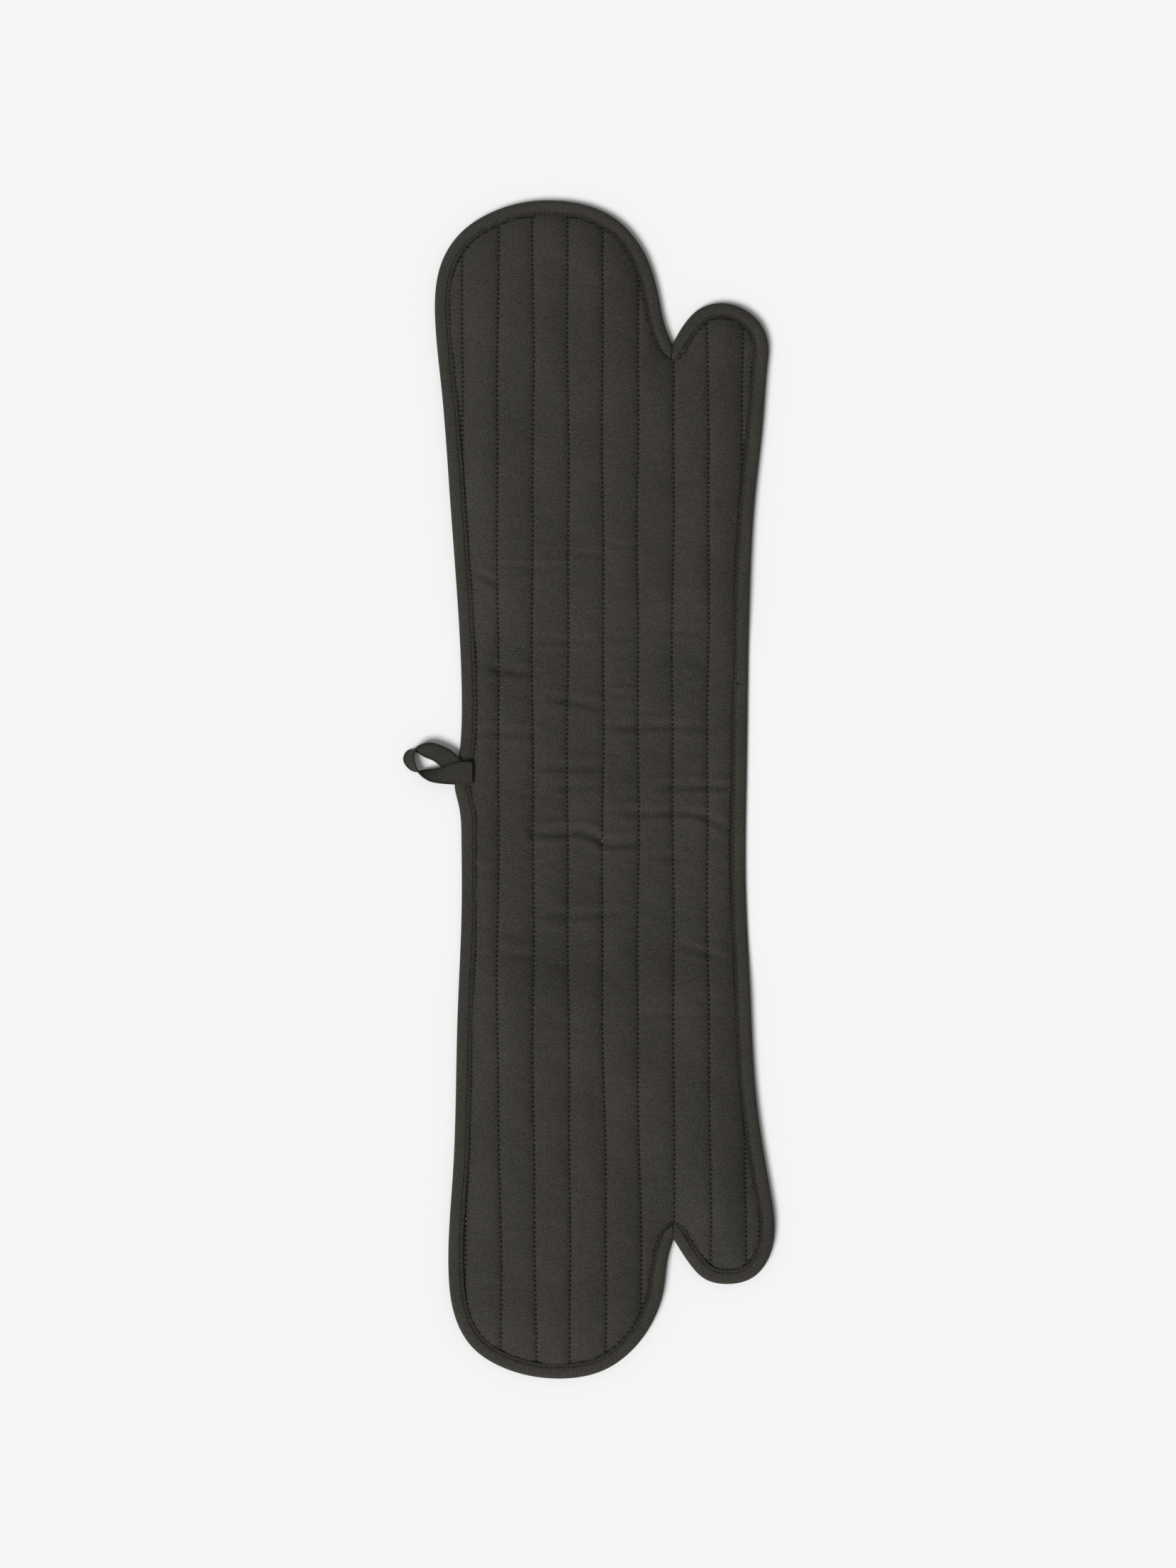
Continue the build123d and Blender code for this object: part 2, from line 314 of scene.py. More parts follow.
def blow_up(frames=12):
    """The face sewn along its quilting lines and pressed up by the wadding: heights on a grid."""
    xs = FIRST_LINE - 5 * CHANNEL + CHANNEL / PER_CHANNEL * np.arange(10 * PER_CHANNEL + 1)
    ys = np.arange(-END, END + 0.1, SHEET_ROW)
    gx, gy = np.meshgrid(xs, ys)
    x, y = gx.ravel(), gy.ravel()
    z = loft(x, y) + 0.12 * rumple(x / 9, y / 7, 41) + 0.3 * rumple(x / 20, y / 14, 42)
    index = np.arange(len(x)).reshape(gx.shape)
    quads = np.stack([index[:-1, :-1], index[:-1, 1:], index[1:, 1:], index[1:, :-1]], -1)
    depth = depth_at(x, y)
    sewn = (index.ravel() % len(xs) % PER_CHANNEL == 0) | (depth < 10)
    z[sewn] = 0
    near = depth.reshape(gx.shape) > 0
    quads = quads[near[:-1, :-1] | near[1:, 1:] | near[:-1, 1:] | near[1:, :-1]]
    mesh = bpy.data.meshes.new("blown_sheet")
    mesh.from_pydata((np.column_stack([x, y, z]) * MM).tolist(), [], quads.tolist())
    sheet = bpy.data.objects.new("blown_sheet", mesh)
    bpy.context.scene.collection.objects.link(sheet)
    sheet.vertex_groups.new(name="sewn").add(np.flatnonzero(sewn).tolist(), 1.0, "REPLACE")
    cloth = sheet.modifiers.new("cloth", "CLOTH")
    rules = cloth.settings
    rules.quality = 4
    rules.mass = 0.15
    rules.tension_stiffness = rules.compression_stiffness = 15
    rules.bending_stiffness = 8.0
    rules.vertex_group_mass = "sewn"
    rules.use_pressure = True
    rules.uniform_pressure_force = 25.0
    rules.shrink_min = -0.004
    rules.effector_weights.gravity = 0
    cloth.collision_settings.use_collision = False
    cloth.point_cache.frame_end = frames
    for frame_number in range(1, frames + 1):
        bpy.context.scene.frame_set(frame_number)
    blown = sheet.evaluated_get(bpy.context.evaluated_depsgraph_get())
    heights = np.empty(len(blown.data.vertices) * 3)
    blown.data.vertices.foreach_get("co", heights)
    bpy.context.scene.frame_set(1)
    bpy.data.objects.remove(sheet)
    return enlarge(heights[2::3].reshape(gx.shape) / MM, 3)


PER_CHANNEL, SHEET_ROW = 8, 3.0
BLOWN = {}


def blown_at(x, y):
    """Height of the blown-up sheet, following the quilting lines as they drift."""
    share = (x - FIRST_LINE) / CHANNEL
    u = share + (x - seam_x(share, y)) / CHANNEL + 5
    return sample(BLOWN["heights"], u * PER_CHANNEL * 3, (y + END) / SHEET_ROW * 3)


def sewn_distance(x, y):
    """Distance from the nearest quilting line or from the fold of the binding, which places the
    painted shade along both.
    """
    return np.minimum(np.abs(seam_offset(x, y)), np.maximum(depth_at(x, y) - 11.3, 0))


def sizes():
    return bpy.context.scene.mitt_sizes


def face_top(x, y):
    """Height of the quilted face."""
    depth = depth_at(x, y)
    high = on_mitt(y)
    edge = 2.5 + 3.1 * high
    mid = 4.3 + 9.3 * high
    rise = crown(depth, 13 + 20 * high)
    puff = sizes().puff / MM
    gap = np.abs(seam_offset(x, y))
    stitch = np.exp(-((gap / 1.3) ** 2))
    z = edge + (mid - edge) * rise
    z += puff * (0.6 * loft(x, y) * inside_edge(depth) + 0.4 * blown_at(x, y))
    z -= stitch * (0.35 + 0.28 * np.cos(2 * np.pi * y / (sizes().stitch / MM)))
    z += 0.26 * np.exp(-gap / 5) * rumple(x / 9 + 40, y / 2.6, 11) * (1 - stitch)
    z += 0.30 * rumple(x / 13, y / 21, 12) + 0.22 * rumple(x / 5, y / 7.5, 13) * (1 - 0.5 * high)
    z += (1 - high) * 0.42 * rumple(x / 15 + 9, y / 5.2, 14) * loft(x, y)
    z += 0.9 * rumple(x / 46, y / 58, 15) * (0.35 + 0.65 * high) * rise
    return z + 1.5 * crease(x, y) * soft((depth - 9) / 6) * (1 - 0.6 * high)


def loft_top(x, y):
    """Top of the wadding: under the face even between its own points."""
    around = [(0, 0), (1.0, 1.75), (-1.0, 1.75), (1.0, -1.75), (-1.0, -1.75)]
    return np.minimum.reduce([face_top(x + a, y + b) for a, b in around]) - 0.75


def panel_bottom(x, y):
    """Height of the lining's underside, also the ceiling of the pockets."""
    depth = depth_at(x, y)
    high = on_mitt(y)
    edge = 0.9 + 3.2 * high
    mid = 1.05 + 9.6 * high
    rise = crown(depth, 13 + 20 * high)
    z = edge + (mid - edge) * rise - 1.0 * loft(x, y) * inside_edge(depth)
    return np.maximum(z + 0.15 * rumple(x / 12, y / 16, 21), 0.05)


def pocket_top(x, y):
    """Height of the pocket lining's upper side, the floor of the hand room."""
    depth = depth_at(x, y)
    rise = crown(depth, 30)
    return 3.6 + 0.9 * loft(x, y) * inside_edge(depth) * rise + 0.12 * rumple(x / 12, y / 15, 22)


def pocket_bottom(x, y):
    """Height of the pocket shell's underside, which the mitt rests on."""
    depth = depth_at(x, y)
    rise = crown(depth, 30)
    gap = np.abs(seam_offset(x, y))
    z = 1.9 - 0.8 * rise - 1.0 * loft(x, y) * inside_edge(depth)
    z += 0.3 * np.exp(-((gap / 1.3) ** 2)) + 0.15 * rumple(x / 9, y / 11, 23)
    return np.maximum(z, 0.02)


# ---------------------------------------------------------------- regions of the cloth
def thumb_way(side):
    """The crotch, and the direction away from the thumb's base line."""
    facts = SIDES[side]
    (cx, cy), (bx, by) = facts["crotch"], facts["base"]
    dx, dy = bx - cx, by - cy
    length = math.hypot(dx, dy)
    return cx, cy, -dy / length * facts["sign"], dx / length * facts["sign"]


def past_thumb_line(side, x, y):
    """Positive on the thumb's side of its base line, negative on the hand's."""
    cx, cy, nx, ny = thumb_way(side)
    return np.minimum(nx * (x - cx) + ny * (y - cy), x - cx)


def half_region(side, tuck):
    """One half of the panel from the middle to the finger end, without its thumb."""
    sign = SIDES[side]["sign"]

    def inside(x, y):
        return np.minimum.reduce(
            [depth_at(x, y) - tuck, sign * (y - MIDDLE), -past_thumb_line(side, x, y)]
        )

    return inside


def thumb_region(side, tuck):
    def inside(x, y):
        return np.minimum(depth_at(x, y) - tuck, past_thumb_line(side, x, y))

    return inside


POCKET_SPLIT = -20.0


def pocket_region(side, hand, tuck, lip=6.0):
    """Left or right share of a pocket, from its mouth to the finger end."""
    sign, mouth = SIDES[side]["sign"], SIDES[side]["mouth"]
    turn = -1 if hand == "left" else 1

    def inside(x, y):
        return np.minimum.reduce(
            [
                depth_at(x, y) - tuck, sign * (y - mouth) - lip,
                turn * (x - POCKET_SPLIT), -past_thumb_line(side, x, y),
            ]
        )

    return inside


# ---------------------------------------------------------------- mesh helpers
def new_piece(name, verts, faces, uvs=None, seam=None):
    """A mesh object at the origin from points in millimetres."""
    mesh = bpy.data.meshes.new(name)
    if isinstance(faces, np.ndarray):
        faces = faces.tolist()
    mesh.from_pydata((np.asarray(verts, float) * MM).tolist(), [], faces)
    mesh.validate()
    piece = bpy.data.objects.new(name, mesh)
    bpy.context.scene.collection.objects.link(piece)
    index = np.empty(len(mesh.loops), np.int32)
    mesh.loops.foreach_get("vertex_index", index)
    for title, values in (("Cloth", uvs), ("Seam", seam)):
        if values is None:
            continue
        layer = mesh.uv_layers.new(name=title)
        flat = (np.asarray(values, float)[index] * MM).astype(np.float32)
        layer.data.foreach_set("uv", flat.ravel())
    bpy.ops.object.select_all(action="DESELECT")
    bpy.context.view_layer.objects.active = piece
    piece.select_set(True)
    bpy.ops.object.shade_smooth_by_angle(angle=math.radians(50))
    return piece


FINE = [0, 0.7, 1.6, 3.2, 6.0, 9.4, 12.7, 16.0, 19.4, 22.2, 23.8, 24.7]
COARSE = [0, 1.6, 6.0, 12.7, 19.4, 23.8]


def snap(region, x, y, rounds=4):
    """Moves points on to the region's edge."""
    for _ in range(rounds):
        f = region(x, y)
        e = 0.4
        gx = (region(x + e, y) - region(x - e, y)) / (2 * e)
        gy = (region(x, y + e) - region(x, y - e)) / (2 * e)
        size = np.maximum(gx * gx + gy * gy, 0.2)
        x, y = x - f * gx / size, y - f * gy / size
    return x, y


def cloth_layer(name, region, top, bottom, row=3.5, offsets=COARSE):
    """A closed layer between two heights over a region, its columns along the quilting lines."""
    y = np.concatenate([np.arange(MIDDLE, -END, -row)[::-1], np.arange(MIDDLE, END, row)[1:]])
    bases = [(k, o) for k in range(-6, 6) for o in offsets]
    grid_y = np.repeat(y[:, None], len(bases), 1)
    grid_x = np.empty_like(grid_y)
    for c, (k, o) in enumerate(bases):
        grid_x[:, c] = seam_x(k, y) + o * (seam_x(k + 1, y) - seam_x(k, y)) / CHANNEL
    centre_x = (grid_x[:-1, :-1] + grid_x[1:, 1:] + grid_x[:-1, 1:] + grid_x[1:, :-1]) / 4
    centre_y = (grid_y[:-1, :-1] + grid_y[1:, 1:]) / 2
    keep = region(centre_x, centre_y) > 0
    rows, cols = grid_x.shape
    index = np.arange(rows * cols).reshape(rows, cols)
    quads = np.stack([index[:-1, :-1], index[:-1, 1:], index[1:, 1:], index[1:, :-1]], -1)[keep]
    edges = np.stack([quads, np.roll(quads, -1, axis=1)], -1).reshape(-1, 2)
    keys = np.sort(edges, axis=1)
    _, where, count = np.unique(keys, axis=0, return_inverse=True, return_counts=True)
    rim = edges[count[where.ravel()] == 1]
    used = np.unique(quads)
    order = np.full(rows * cols, -1)
    order[used] = np.arange(len(used))
    x, y = grid_x.ravel()[used], grid_y.ravel()[used]
    border = order[np.unique(rim)]
    x[border], y[border] = snap(region, x[border], y[border])
    quads, rim = order[quads], order[rim]
    n = len(used)
    high_z, low_z = top(x, y), bottom(x, y)
    verts = np.vstack([np.column_stack([x, y, high_z]), np.column_stack([x, y, low_z])])
    walls = np.column_stack([rim[:, 1], rim[:, 0], rim[:, 0] + n, rim[:, 1] + n])
    faces = np.vstack([quads, quads[:, ::-1] + n, walls])
    plan = np.column_stack([x, y])
    # seam coordinates that place the painted shade along the quilting lines and under the binding's
    # fold
    seams = np.column_stack([sewn_distance(x, y), y])
    return new_piece(name, verts, faces, np.vstack([plan, plan]), np.vstack([seams, seams]))


def stitches(name, places, along, length=1.9, wide=0.65, tall=0.5):
    """Short rounded stitches at places, each lying along its own direction."""
    places, along = np.asarray(places, float), unit(np.asarray(along, float))
    across = unit(np.cross(along, np.array([0, 0, 1.0])))
    lift = np.cross(across, along)
    rings = [
        (-0.5, 0.30, -0.45), (-0.3, 0.85, 0.02), (0.0, 1.0, 0.14), (0.3, 0.85, 0.02),
        (0.5, 0.30, -0.45),
    ]
    around = [math.radians(a) for a in (0, 60, 120, 180, 240, 300)]
    shape = []
    for t, girth, rise in rings:
        for a in around:
            side = 0.5 * wide * girth * math.cos(a)
            shape.append((t * length, side, rise * tall + 0.5 * tall * girth * math.sin(a)))
    shape = np.array(shape)
    m = len(around)
    quads = []
    for r in range(len(rings) - 1):
        for a in range(m):
            b = (a + 1) % m
            quads.append([r * m + a, (r + 1) * m + a, (r + 1) * m + b, r * m + b])
    caps = [list(range(m)), [(len(rings) - 1) * m + a for a in reversed(range(m))]]
    verts = (
        places[:, None, :] + shape[None, :, 0, None] * along[:, None, :]
        + shape[None, :, 1, None] * across[:, None, :] + shape[None, :, 2, None] * lift[:, None, :]
    ).reshape(-1, 3)
    faces = []
    for i in range(len(places)):
        base = i * len(shape)
        faces += [[base + v for v in f] for f in quads + caps]
    uv = np.column_stack([verts[:, 0], verts[:, 1]])
    return new_piece(name, verts, faces, uv)


def ribbon(name, rings, uvs, seams=None):
    """A closed strip swept through rings of points, with flat ends."""
    rings = np.asarray(rings, float)
    count, m = rings.shape[:2]
    verts = rings.reshape(-1, 3)
    faces = []
    for r in range(count - 1):
        for a in range(m):
            b = (a + 1) % m
            faces.append([r * m + a, r * m + b, (r + 1) * m + b, (r + 1) * m + a])
    faces.append(list(range(m))[::-1])
    faces.append([(count - 1) * m + a for a in range(m)])
    if seams is not None:
        seams = np.asarray(seams, float).reshape(-1, 2)
    return new_piece(name, verts, faces, np.asarray(uvs, float).reshape(-1, 2), seams)


def merge(name, parts):
    """Joins several new meshes into one piece."""
    bpy.ops.object.select_all(action="DESELECT")
    for part in parts:
        part.select_set(True)
    bpy.context.view_layer.objects.active = parts[0]
    if len(parts) > 1:
        bpy.ops.object.join()
    parts[0].name = name
    parts[0].data.name = name
    return parts[0]


def bend_half(piece, side):
    """Bakes the piece's placement into its mesh."""
    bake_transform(piece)


def bend_thumb(piece, side):
    """Bakes the piece's placement into its mesh."""
    cx, cy, nx, ny = thumb_way(side)
    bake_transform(piece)


def bend_pocket(piece):
    """Bakes the piece's placement into its mesh."""
    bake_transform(piece)


def finish_part(piece, side, part, key, slot, kind):
    """Material, baked placement and hidden CAD nodes of a piece that is on a half or a thumb."""
    dress(piece, key, slot)
    (bend_half if part == "half" else bend_thumb)(piece, side)
    bodies = [f"{side}_half", "centre"] if part == "half" else [f"{side}_thumb"]
    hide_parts(*[f"{body}_{kind}" for body in bodies])


# ---------------------------------------------------------------- materials
HOLE_SHADE_RADIUS = 0.0008    # of the painted shade's fading edge round each needle hole, in metres


def new_group(title, vector, floats, results):
    """A node group that takes a vector, a colour and numbers, with its inner nodes and links."""
    group = bpy.data.node_groups.new(title, "ShaderNodeTree")
    face = group.interface
    face.new_socket(vector, in_out="INPUT", socket_type="NodeSocketVector")
    tint = face.new_socket("Colour", in_out="INPUT", socket_type="NodeSocketColor")
    tint.default_value = (0.05, 0.05, 0.05, 1)
    for name, value in floats.items():
        face.new_socket(name, in_out="INPUT", socket_type="NodeSocketFloat").default_value = value
    for name, kind in results.items():
        face.new_socket(name, in_out="OUTPUT", socket_type=f"NodeSocket{kind}")
    nodes, links = group.nodes, group.links
    inp, out = nodes.new("NodeGroupInput"), nodes.new("NodeGroupOutput")

    def calc(kind, *values, clamp=False):
        node = nodes.new("ShaderNodeMath")
        node.operation = kind
        node.use_clamp = clamp
        for i, value in enumerate(values):
            if isinstance(value, (int, float)):
                node.inputs[i].default_value = value
            else:
                links.new(value, node.inputs[i])
        return node.outputs[0]

    def scale_colour(factor):
        node = nodes.new("ShaderNodeVectorMath")
        node.operation = "SCALE"
        links.new(inp.outputs["Colour"], node.inputs[0])
        links.new(factor, node.inputs["Scale"])
        links.new(node.outputs["Vector"], out.inputs["Colour"])

    return group, inp.outputs, out.inputs, calc, scale_colour


def group_twill():
    """Node group: twill ribs, fibres and mottling, from cloth coordinates in metres."""
    group, given, made, calc, scale_colour = new_group(
        "Twill Weave", "Cloth",
        {"Rib Density": 330.0, "Rib Turn": 0.6, "Rib Contrast": 0.35, "Fibre Contrast": 0.6,
         "Fading": 0.2},
        {"Colour": "Color", "Roughness": "Float", "Height": "Float"},
    )
    nodes, links = group.nodes, group.links
    turn = nodes.new("ShaderNodeVectorRotate")
    turn.rotation_type = "Z_AXIS"
    links.new(given["Cloth"], turn.inputs["Vector"])
    links.new(given["Rib Turn"], turn.inputs["Angle"])
    ribs = nodes.new("ShaderNodeTexWave")
    ribs.inputs["Distortion"].default_value = 1.6
    ribs.inputs["Detail"].default_value = 2.0
    ribs.inputs["Detail Scale"].default_value = 1.3
    links.new(turn.outputs["Vector"], ribs.inputs["Vector"])
    links.new(given["Rib Density"], ribs.inputs["Scale"])

    def noise(scale, detail, rough):
        node = nodes.new("ShaderNodeTexNoise")
        node.inputs["Scale"].default_value = scale
        node.inputs["Detail"].default_value = detail
        node.inputs["Roughness"].default_value = rough
        links.new(given["Cloth"], node.inputs["Vector"])
        return node.outputs["Fac"]

    def centred(value, gain):
        return calc("MULTIPLY", calc("SUBTRACT", value, 0.5), gain)

    fibre, patch, fade = noise(950.0, 3.0, 0.8), noise(260.0, 3.0, 0.7), noise(17.0, 2.0, 0.5)
    light = calc("ADD", centred(ribs.outputs["Fac"], given["Rib Contrast"]), 1.0)
    light = calc("ADD", light, calc("MULTIPLY", centred(fibre, 2.0), given["Fibre Contrast"]))
    light = calc("ADD", light, centred(patch, 0.75))
    light = calc("ADD", light, calc("MULTIPLY", centred(fade, 2.0), given["Fading"]))
    scale_colour(calc("MAXIMUM", light, 0.25))
    links.new(calc("ADD", 0.82, centred(fibre, 0.25), clamp=True), made["Roughness"])
    height = calc("ADD", calc("MULTIPLY", ribs.outputs["Fac"], 0.6), calc("MULTIPLY", fibre, 0.5))
    links.new(height, made["Height"])
    return group


def group_painted_seam_shade():
    """Node group: painted shade in the needle hole of each stitch and along the valley of a sewn
    line, from seam coordinates in metres.
    """
    group, given, _, calc, scale_colour = new_group(
        "Painted Seam Shade", "Seam",
        {"Pitch": 0.0035, "Line Width": 0.0014, "Line Shade": 0.35, "Hole Shade": 0.7},
        {"Colour": "Color"},
    )
    parts = group.nodes.new("ShaderNodeSeparateXYZ")
    group.links.new(given["Seam"], parts.inputs[0])
    away = calc("ABSOLUTE", parts.outputs["X"])
    turn = calc("FRACT", calc("DIVIDE", parts.outputs["Y"], given["Pitch"]))
    beat = calc("MULTIPLY", calc("SUBTRACT", turn, 0.5), given["Pitch"])
    square = calc("ADD", calc("MULTIPLY", away, away), calc("MULTIPLY", beat, beat))
    reach = calc("POWER", square, 0.5)
    # painted shade: a dark dot in each needle hole and a dark line along the sewn valley
    hole = calc("SUBTRACT", 1.6, calc("DIVIDE", reach, HOLE_SHADE_RADIUS), clamp=True)
    line = calc("SUBTRACT", 1.0, calc("DIVIDE", away, given["Line Width"]), clamp=True)
    painted_shade = calc("MAXIMUM", calc("MULTIPLY", hole, given["Hole Shade"]),
                calc("MULTIPLY", line, given["Line Shade"]))
    scale_colour(calc("SUBTRACT", 1.0, painted_shade, clamp=True))
    return group


def set_inputs(node, values):
    for title, value in values.items():
        node.inputs[title].default_value = value


def cloth_material(name, colour, density, turn, rib, fibre, fading, depth, sheen, seam_shade):
    """A woven cloth with its own weave, colour and relief."""
    material = bpy.data.materials.new(name)
    material.use_nodes = True
    nodes, links = material.node_tree.nodes, material.node_tree.links
    shader = nodes["Principled BSDF"]
    set_inputs(shader, {
        "Sheen Weight": sheen, "Sheen Roughness": 0.5, "Specular IOR Level": 0.15,
    })
    cloth = nodes.new("ShaderNodeUVMap")
    cloth.uv_map = "Cloth"
    weave = nodes.new("ShaderNodeGroup")
    weave.node_tree = bpy.data.node_groups.get("Twill Weave") or group_twill()
    set_inputs(weave, {
        "Colour": (*colour, 1), "Rib Density": density, "Rib Turn": math.radians(turn),
        "Rib Contrast": rib, "Fibre Contrast": fibre, "Fading": fading,
    })
    links.new(cloth.outputs["UV"], weave.inputs["Cloth"])
    colour_out = weave.outputs["Colour"]
    # painted shade darkens the base colour along the sewn lines and at each needle hole
    if seam_shade:
        seam = nodes.new("ShaderNodeUVMap")
        seam.uv_map = "Seam"
        seam_shade_node = nodes.new("ShaderNodeGroup")
        seam_shade_node.node_tree = bpy.data.node_groups.get("Painted Seam Shade") or group_painted_seam_shade()
        set_inputs(seam_shade_node, {"Pitch": sizes().stitch})
        set_inputs(seam_shade_node, dict(zip(("Line Width", "Line Shade", "Hole Shade"), seam_shade)))
        links.new(seam.outputs["UV"], seam_shade_node.inputs["Seam"])
        links.new(colour_out, seam_shade_node.inputs["Colour"])
        colour_out = seam_shade_node.outputs["Colour"]
    links.new(colour_out, shader.inputs["Base Color"])
    links.new(weave.outputs["Roughness"], shader.inputs["Roughness"])
    bump = nodes.new("ShaderNodeBump")
    set_inputs(bump, {"Strength": 1.0, "Distance": depth})
    links.new(weave.outputs["Height"], bump.inputs["Height"])
    links.new(bump.outputs["Normal"], shader.inputs["Normal"])
    return material


def material(key):
    """The mitt's materials, made once."""
    found = bpy.data.materials.get(f"mitt_{key}")
    if found:
        return found
    c = bpy.context.scene.mitt_colours
    twill = (c.face, 360.0, 52.0, 0.8, 2.3, 0.3, 0.00028, 0.03, (0.0011, 0.25, 0.9))
    # colour, ribs per metre, their turn, rib and fibre contrast, fading, relief, sheen, painted
    # seam shade (line width, line shade, needle-hole shade)
    recipes = {
        "face": twill,
        "shell": twill,
        # the binding's painted shade is the darkest: a painted shadow along the tape's inner fold
        # and a dark painted line down its topstitch groove
        "binding": (c.binding, 360.0, 8.0, 0.9, 2.0, 0.3, 0.0003, 0.04, (0.0011, 0.97, 0.95)),
        "loop": (c.loop, 360.0, -55.0, 0.7, 1.6, 0.2, 0.00025, 0.03, (0.0007, 0.7, 0.5)),
        "lining": (c.lining, 420.0, 90.0, 0.3, 0.6, 0.15, 0.00014, 0.08, (0.0012, 0.2, 0.5)),
        "wadding": (c.wadding, 60.0, 20.0, 0.1, 0.5, 0.3, 0.0006, 0.3, None),
        "thread": (c.thread, 900.0, 30.0, 0.6, 0.8, 0.1, 0.0001, 0.08, None),
    }
    return cloth_material(f"mitt_{key}", *recipes[key])


def dress(piece, key, slot):
    """Gives the piece its material; the slot is not used."""
    piece.data.materials.clear()
    piece.data.materials.append(material(key))


# ---------------------------------------------------------------- settings
def length(name, description, default, low, high):
    return FloatProperty(
        name=name, description=description, default=default, min=low, max=high, unit="LENGTH",
        precision=4,
    )


def colour(name, description, default):
    return FloatVectorProperty(
        name=name, description=description, subtype="COLOR", default=default, min=0, max=1
    )


class MittSizes(bpy.types.PropertyGroup):
    """Sizes a maker would change."""

    puff: length("Puff", "Rise of the face between two quilting lines", 0.0019, 0, 0.006)
    stitch: length("Stitch", "Length of one quilting stitch", 0.0035, 0.001, 0.01)
    loop_tape: length("Loop Tape", "Thickness of the loop's folded tape", 0.0016, 0.0005, 0.004)


class MittColours(bpy.types.PropertyGroup):
    """Colours of the cloths."""

    face: colour("Face", "Twill of the face and the pocket shells", (0.0378, 0.0348, 0.0284))
    binding: colour("Binding", "Bias tape round the edge", (0.0385, 0.0355, 0.029))
    loop: colour("Loop", "Tape of the hanging loop", (0.031, 0.0285, 0.023))
    lining: colour("Lining", "Lining cloth", (0.050, 0.047, 0.040))
    wadding: colour("Wadding", "Cotton wadding", (0.62, 0.60, 0.54))
    thread: colour("Thread", "Sewing thread", (0.037, 0.034, 0.0275))
    floor: colour("Floor", "Studio floor", (0.86, 0.86, 0.86))


# ---------------------------------------------------------------- the panel
def under_face(x, y):
    return face_top(x, y) - 0.5


def over_lining(x, y):
    return panel_bottom(x, y) + 0.42


def cut_of(region):
    """Flat size and flat area of a region's cut, in metres."""
    gx, gy = np.meshgrid(X0 + CELL * np.arange(COLS), Y0 + CELL * np.arange(ROWS))
    inside = region(gx.ravel(), gy.ravel()) > 0
    x, y = gx.ravel()[inside], gy.ravel()[inside]
    flat = ((np.ptp(x) + CELL) * MM, (np.ptp(y) + CELL) * MM)
    return flat, inside.sum() * CELL**2 * MM**2


def declare_layers(region):
    """Measures the flat size and area of a region's cut, and keeps neither."""
    flat, area = cut_of(region)


def panel_layers(side, part):
    """Face, wadding and lining of one part of the panel."""
    body = f"{side}_{part}"
    region = half_region if part == "half" else thumb_region
    face = cloth_layer(f"{body}_face_cloth", region(side, 8.6), face_top, under_face, 1.75, FINE)
    row, offsets, tuck = (3.5, COARSE, 6.5) if part == "half" else (1.75, FINE, 7.4)
    wadding = cloth_layer(
        f"{body}_loft", region(side, tuck),
        lambda x, y: np.maximum(loft_top(x, y), panel_bottom(x, y) + 0.9),
        lambda x, y: panel_bottom(x, y) + 0.48, row, offsets,
    )
    lining = cloth_layer(f"{body}_lining_cloth", region(side, 8.2), over_lining, panel_bottom)
    for piece, kind, slot in (
        (face, "face", "twill"), (wadding, "wadding", "wadding"), (lining, "lining", "lining"),
    ):
        finish_part(piece, side, part, kind, slot, kind)
    declare_layers(region(side, 8.4))


class MITT_OT_panel(bpy.types.Operator):
    """Build the quilted panel: face, wadding and lining"""

    bl_idname = "mitt.panel"
    bl_label = "Quilted Panel"

    def execute(self, context):
        BLOWN["heights"] = blow_up()
        for side in SIDES:
            for part in ("half", "thumb"):
                panel_layers(side, part)
        return {"FINISHED"}


# ---------------------------------------------------------------- quilting stitches
def face_slope(x, y, dx, dy, height):
    """Direction along (dx, dy) that lies on a surface."""
    e = 1.4
    rise = (height(x + dx * e, y + dy * e) - height(x - dx * e, y - dy * e)) / (2 * e)
    return np.column_stack([dx, dy, rise])


def quilting_places():
    """Middle of every stitch along the quilting lines."""
    pitch = sizes().stitch / MM
    places = []
    for k in LINES:
        y = np.arange(-124, 124) * pitch
        places.append(np.column_stack([seam_x(k, y), y]))
    return np.vstack(places)


class MITT_OT_quilting(bpy.types.Operator):
    """Sew the quilting stitches in the valleys of the face"""

    bl_idname = "mitt.quilting"
    bl_label = "Quilting Stitches"

    def execute(self, context):
        points = quilting_places()
        for side in SIDES:
            for part in ("half", "thumb"):
                region = (half_region if part == "half" else thumb_region)(side, 10.5)
                mine = points[region(points[:, 0], points[:, 1]) > 0]
                x, y = mine[:, 0], mine[:, 1]
                still = np.zeros(len(x))
                z = face_top(x, y)
                along = face_slope(x, y, still, still + 1, face_top)
                at = np.column_stack([x, y, z + 0.12])
                piece = stitches(f"{side}_{part}_quilting_thread", at, along)
                finish_part(piece, side, part, "thread", "thread", "quilting")
        return {"FINISHED"}


